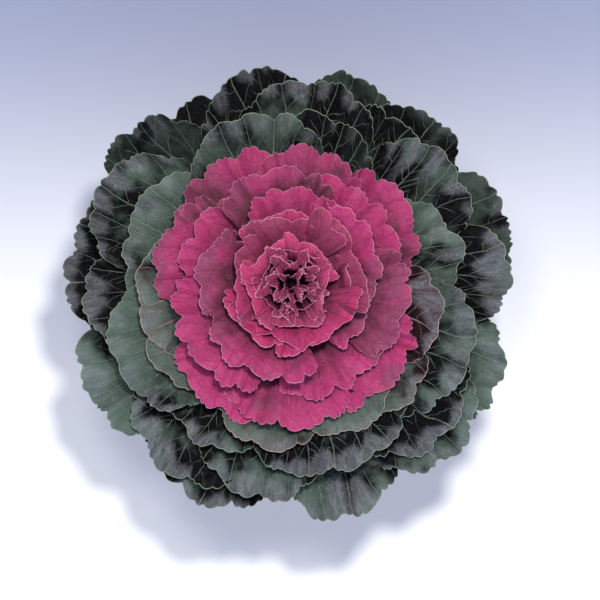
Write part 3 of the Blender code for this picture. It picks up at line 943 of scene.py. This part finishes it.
def lathe(name, path, sides, closed, surface, dent):
    """A turned piece. dent(radius, height, angle) is how far its surface stands out of true."""
    radius, height = path[:, 0][:, None], path[:, 1][:, None]
    swollen = radius + dent(radius, height, angles_round(sides)[None, :])
    return turned_piece(name, swollen, height, closed, surface)


def outward(made):
    """Turn a closed mesh's faces outwards."""
    mesh = made.data
    volume = 0.0
    mesh.calc_loop_triangles()
    for face in mesh.loop_triangles:
        a, b, c = (mesh.vertices[i].co for i in face.vertices)
        volume += a.dot(b.cross(c))
    if volume < 0:
        mesh.flip_normals()


POT_SIDES, STEM_SIDES, SOIL_SIDES = 220, 96, 300


def build_pot(surface):
    """The flowerpot: rounded edges, faint turning lines, and a body slightly out of round."""
    def dent(radius, height, angle):
        lines = 0.07 * np.sin(height / (0.9 * MM))
        lines = lines + 0.10 * np.sin(height / (3.7 * MM) + 0.3 * np.sin(angle))
        wobble = 0.22 * np.sin(2 * angle + 0.7) + 0.10 * np.sin(5 * angle + height / (30 * MM))
        handled = 0.05 * np.sin(23 * angle + height / (4 * MM)) * np.sin(height / (7 * MM))
        return (lines + wobble + handled - 0.3) * MM * np.minimum(1, radius / (40 * MM))

    path = rounded(meridian("clay_pot"), 2.2 * MM, True, 1.2 * MM)
    pot = lathe("clay_flowerpot", path, POT_SIDES, True, surface, dent)
    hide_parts("clay_pot")


# The stem's leaf scars: how many, how far the first is above the stem's foot, the rise from one to
# the next, and the angle between them in degrees.
SCARS = 22
FIRST_SCAR = 44 * MM
SCAR_RISE = 2.4 * MM
GOLDEN_ANGLE = 137.5


def build_stem(surface):
    """The stem, with a crescent scar in a spiral wherever an old leaf dropped off."""
    path = rounded(meridian("stem"), 4 * MM, False, 0.8 * MM)

    def dent(radius, height, angle):
        total = 0.25 * np.sin(7 * angle + height / (9 * MM))
        total = total + 0.2 * np.sin(13 * angle - height / (5 * MM))
        for scar in range(SCARS):
            middle = path[:, 1].min() + FIRST_SCAR + SCAR_RISE * scar
            turn = math.radians(GOLDEN_ANGLE * scar)
            apart = np.angle(np.exp(1j * (angle - turn)))
            away = ((height - middle - 1.5 * MM * apart**2) / (1.3 * MM)) ** 2 + (apart / 0.42) ** 2
            total = total + 0.9 * np.exp(-away) - 0.5 * np.exp(-(away - 1.6) ** 2)
        return (total - 0.5) * MM

    stem = lathe("woody_stem", path, STEM_SIDES, False, surface, dent)
    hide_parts("stem")


SOIL_WAVE = 17 * MM
SOIL_RISE = 1.1 * MM


def soil_height(radius, angle):
    """How far the potting mix's surface rises or dips from its mounded shape."""
    x, y = radius * np.cos(angle) / SOIL_WAVE, radius * np.sin(angle) / SOIL_WAVE
    return SOIL_RISE * ripple(x, y, SOIL_SEED, 5)


def build_soil(surface):
    """The potting mix: its sides fill the pot, and its top is uneven. Returns its CAD outline."""
    outline = meridian("potting_mix")
    path = rounded(outline, 1.5 * MM, False, 1.0 * MM)
    wall = outline[:, 0].max()
    top = outline[np.argmax(outline[:, 0]), 1]
    radius, height = path[:, 0][:, None], path[:, 1][:, None]
    on_top = np.clip((height - top + 2 * MM) / (2 * MM), 0, 1)
    on_top = on_top * np.clip((wall - radius) / (5 * MM), 0.15, 1)
    raised = height + on_top * soil_height(radius, angles_round(SOIL_SIDES)[None, :])
    soil = turned_piece("potting_soil", radius, raised, False, surface)
    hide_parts("potting_mix")
    return outline


# How far the lumps on the potting mix stay from the axis and from the wall of the pot.
CLEAR_OF_STEM = 15 * MM
CLEAR_OF_WALL = 3 * MM


def scatter(name, count, sizes, outline, surface, seed):
    """Small irregular lumps, nearly half sunk in the top of the potting mix."""
    rng = np.random.default_rng(seed)
    wall = outline[:, 0].max()
    upper = outline[outline[:, 1] > outline[np.argmax(outline[:, 0]), 1] - 0.01 * MM]
    upper = upper[np.argsort(upper[:, 0])]
    ball_points, ball_faces = ball()
    points, faces = [], []
    for _ in range(count):
        size = rng.uniform(*sizes)
        radius = math.sqrt(rng.uniform(CLEAR_OF_STEM**2, (wall - CLEAR_OF_WALL) ** 2))
        angle = rng.uniform(0, 2 * math.pi)
        rise = np.interp(radius, upper[:, 0], upper[:, 1])
        rise += soil_height(np.array([[radius]]), np.array([[angle]]))[0, 0]
        tilted = 0.7 * ball_points[:, 1] + ball_points[:, 2]
        knobs = 1 + 0.28 * ripple(0.7 * ball_points[:, 0], tilted, seed, 2)
        stretch = rng.uniform(0.6, 1.2, 3)
        spun = ball_points * knobs[:, None] * stretch * size / 2
        turn = rng.uniform(0, 2 * math.pi)
        spun = spun @ np.array([
            [math.cos(turn), math.sin(turn), 0], [-math.sin(turn), math.cos(turn), 0], [0, 0, 1]])
        centre = np.array([radius * math.cos(angle), radius * math.sin(angle), rise + 0.15 * size])
        faces += (ball_faces + len(ball_points) * len(points)).tolist()
        points.append(spun + centre)
    made = add_mesh(name, np.concatenate(points), faces, surface)
    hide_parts("potting_mix")


def ball():
    """The points and faces of a ball made by cutting an icosahedron's faces into four."""
    bpy.ops.mesh.primitive_ico_sphere_add(subdivisions=2, radius=1.0)
    made = bpy.context.object
    points = np.array([tuple(v.co) for v in made.data.vertices])
    faces = np.array([tuple(p.vertices) for p in made.data.polygons])
    mesh = made.data
    bpy.data.objects.remove(made)
    bpy.data.meshes.remove(mesh)
    return points, faces


def build_potting():
    build_pot(clay_material())
    build_stem(bark_material(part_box("heart_bud")[0].z))
    peat = peat_material()
    outline = build_soil(peat)
    scatter("peat_crumbs", 420, (1.2 * MM, 4.2 * MM), outline, peat, CRUMB_SEED)
    scatter("perlite_grains", 70, (1.4 * MM, 3.2 * MM), outline, perlite_material(), GRAIN_SEED)


# ---------------------------------------------------------------- stage, lights and camera

FLOOR_SIZE = 8.0
SKY_COLOUR = (0.64, 0.73, 1.0, 1.0)
SKY_STRENGTH = 0.44

# Two overhead lamps, a little towards +Y and to each side, and a broad one low on the -Y side,
# whose light reaches under the leaves. An offset is from the top of the plant, in metres.
Lamp = namedtuple("Lamp", "name offset size power colour")
LAMPS = (
    Lamp("key_right", offset=(0.19, 0.24, 1.95), size=0.18, power=33, colour=(1.0, 0.98, 0.93)),
    Lamp("key_left", offset=(-0.17, 0.18, 1.95), size=0.34, power=10, colour=(1.0, 0.98, 0.93)),
    Lamp("low_fill", offset=(0.0, -1.70, 0.95), size=1.4, power=19, colour=(0.72, 0.80, 1.0)),
)

# The camera's angle above the floor, distance in metres and sensor in millimetres; the height that
# it looks at, as a share of the model's; and the shift of its aim and the width that the picture
# takes in, as shares of the model's width.
ELEVATION = math.radians(85)
CAMERA_DISTANCE = 2.5
SENSOR_WIDTH = 36
AIM_HEIGHT = 0.72
AIM_SHIFT = (0.026, -0.018, 0.0)
PICTURE_WIDTH = 1.335


def build_stage():
    """A pale paper floor with a band of grey-blue on the +Y side."""
    s = Shader("paper_floor")
    place = s.place()
    y = s.apart(place)[1]
    fibres = s.noise(place, 400.0)
    near, far = (0.97, 0.965, 0.965), (0.29, 0.315, 0.44)
    colour = s.mix(s.smooth(y, -0.10, 0.25), near, far)
    colour = s.mix(s.smooth(y, 0.32, 0.90), colour, (0.68, 0.69, 0.76))
    s.finish(colour, 0.85, s.bump(fibres, 0.05 * MM, 0.3), Specular_IOR_Level=0.1)
    bpy.ops.mesh.primitive_plane_add(size=FLOOR_SIZE)
    floor = bpy.context.object
    floor.name = "paper_floor"
    floor.data.materials.append(s.material)


def add_light(lamp, aim):
    data = bpy.data.lights.new(lamp.name, "AREA")
    data.shape = "DISK"
    data.size = lamp.size
    data.energy = lamp.power
    data.color = lamp.colour
    light = add_object(lamp.name, data)
    light.location = aim + Vector(lamp.offset)
    light.rotation_euler = (aim - (aim + Vector(lamp.offset))).to_track_quat("-Z", "Y").to_euler()


def light_scene(centre):
    """The lamps, and a weak sky."""
    world = bpy.data.worlds.new("studio")
    world.use_nodes = True
    background = world.node_tree.nodes["Background"]
    background.inputs["Color"].default_value = SKY_COLOUR
    background.inputs["Strength"].default_value = SKY_STRENGTH
    bpy.context.scene.world = world
    for lamp in LAMPS:
        add_light(lamp, centre)


def add_camera(low, high):
    """The view from nearly straight above, with the top of the picture towards +Y."""
    data = bpy.data.cameras.new("camera")
    camera = add_object("camera", data)
    width = high.x - low.x
    aim = Vector((
        (low.x + high.x) / 2, (low.y + high.y) / 2, low.z + AIM_HEIGHT * (high.z - low.z)))
    aim += Vector(AIM_SHIFT) * width
    away = Vector((0, -math.cos(ELEVATION), math.sin(ELEVATION)))
    camera.location = aim + away * CAMERA_DISTANCE
    camera.rotation_euler = (-away).to_track_quat("-Z", "Y").to_euler()
    data.sensor_width = SENSOR_WIDTH
    data.lens = SENSOR_WIDTH * CAMERA_DISTANCE / (width * PICTURE_WIDTH)
    bpy.context.scene.camera = camera


def main():
    low, high = Vector(CAD_BOX[0]), Vector(CAD_BOX[1])
    skins = build_leaves()
    build_heart(
        skins["crimson_leaf"], leaf_material("heart_skin", HEART_SKIN),
        leaf_material("bud_skin", BUD_SKIN))
    build_potting()
    build_stage()
    light_scene(Vector((0, 0, high.z)))
    add_camera(low, high)
    bpy.context.scene.view_settings.view_transform = "Standard"


main()
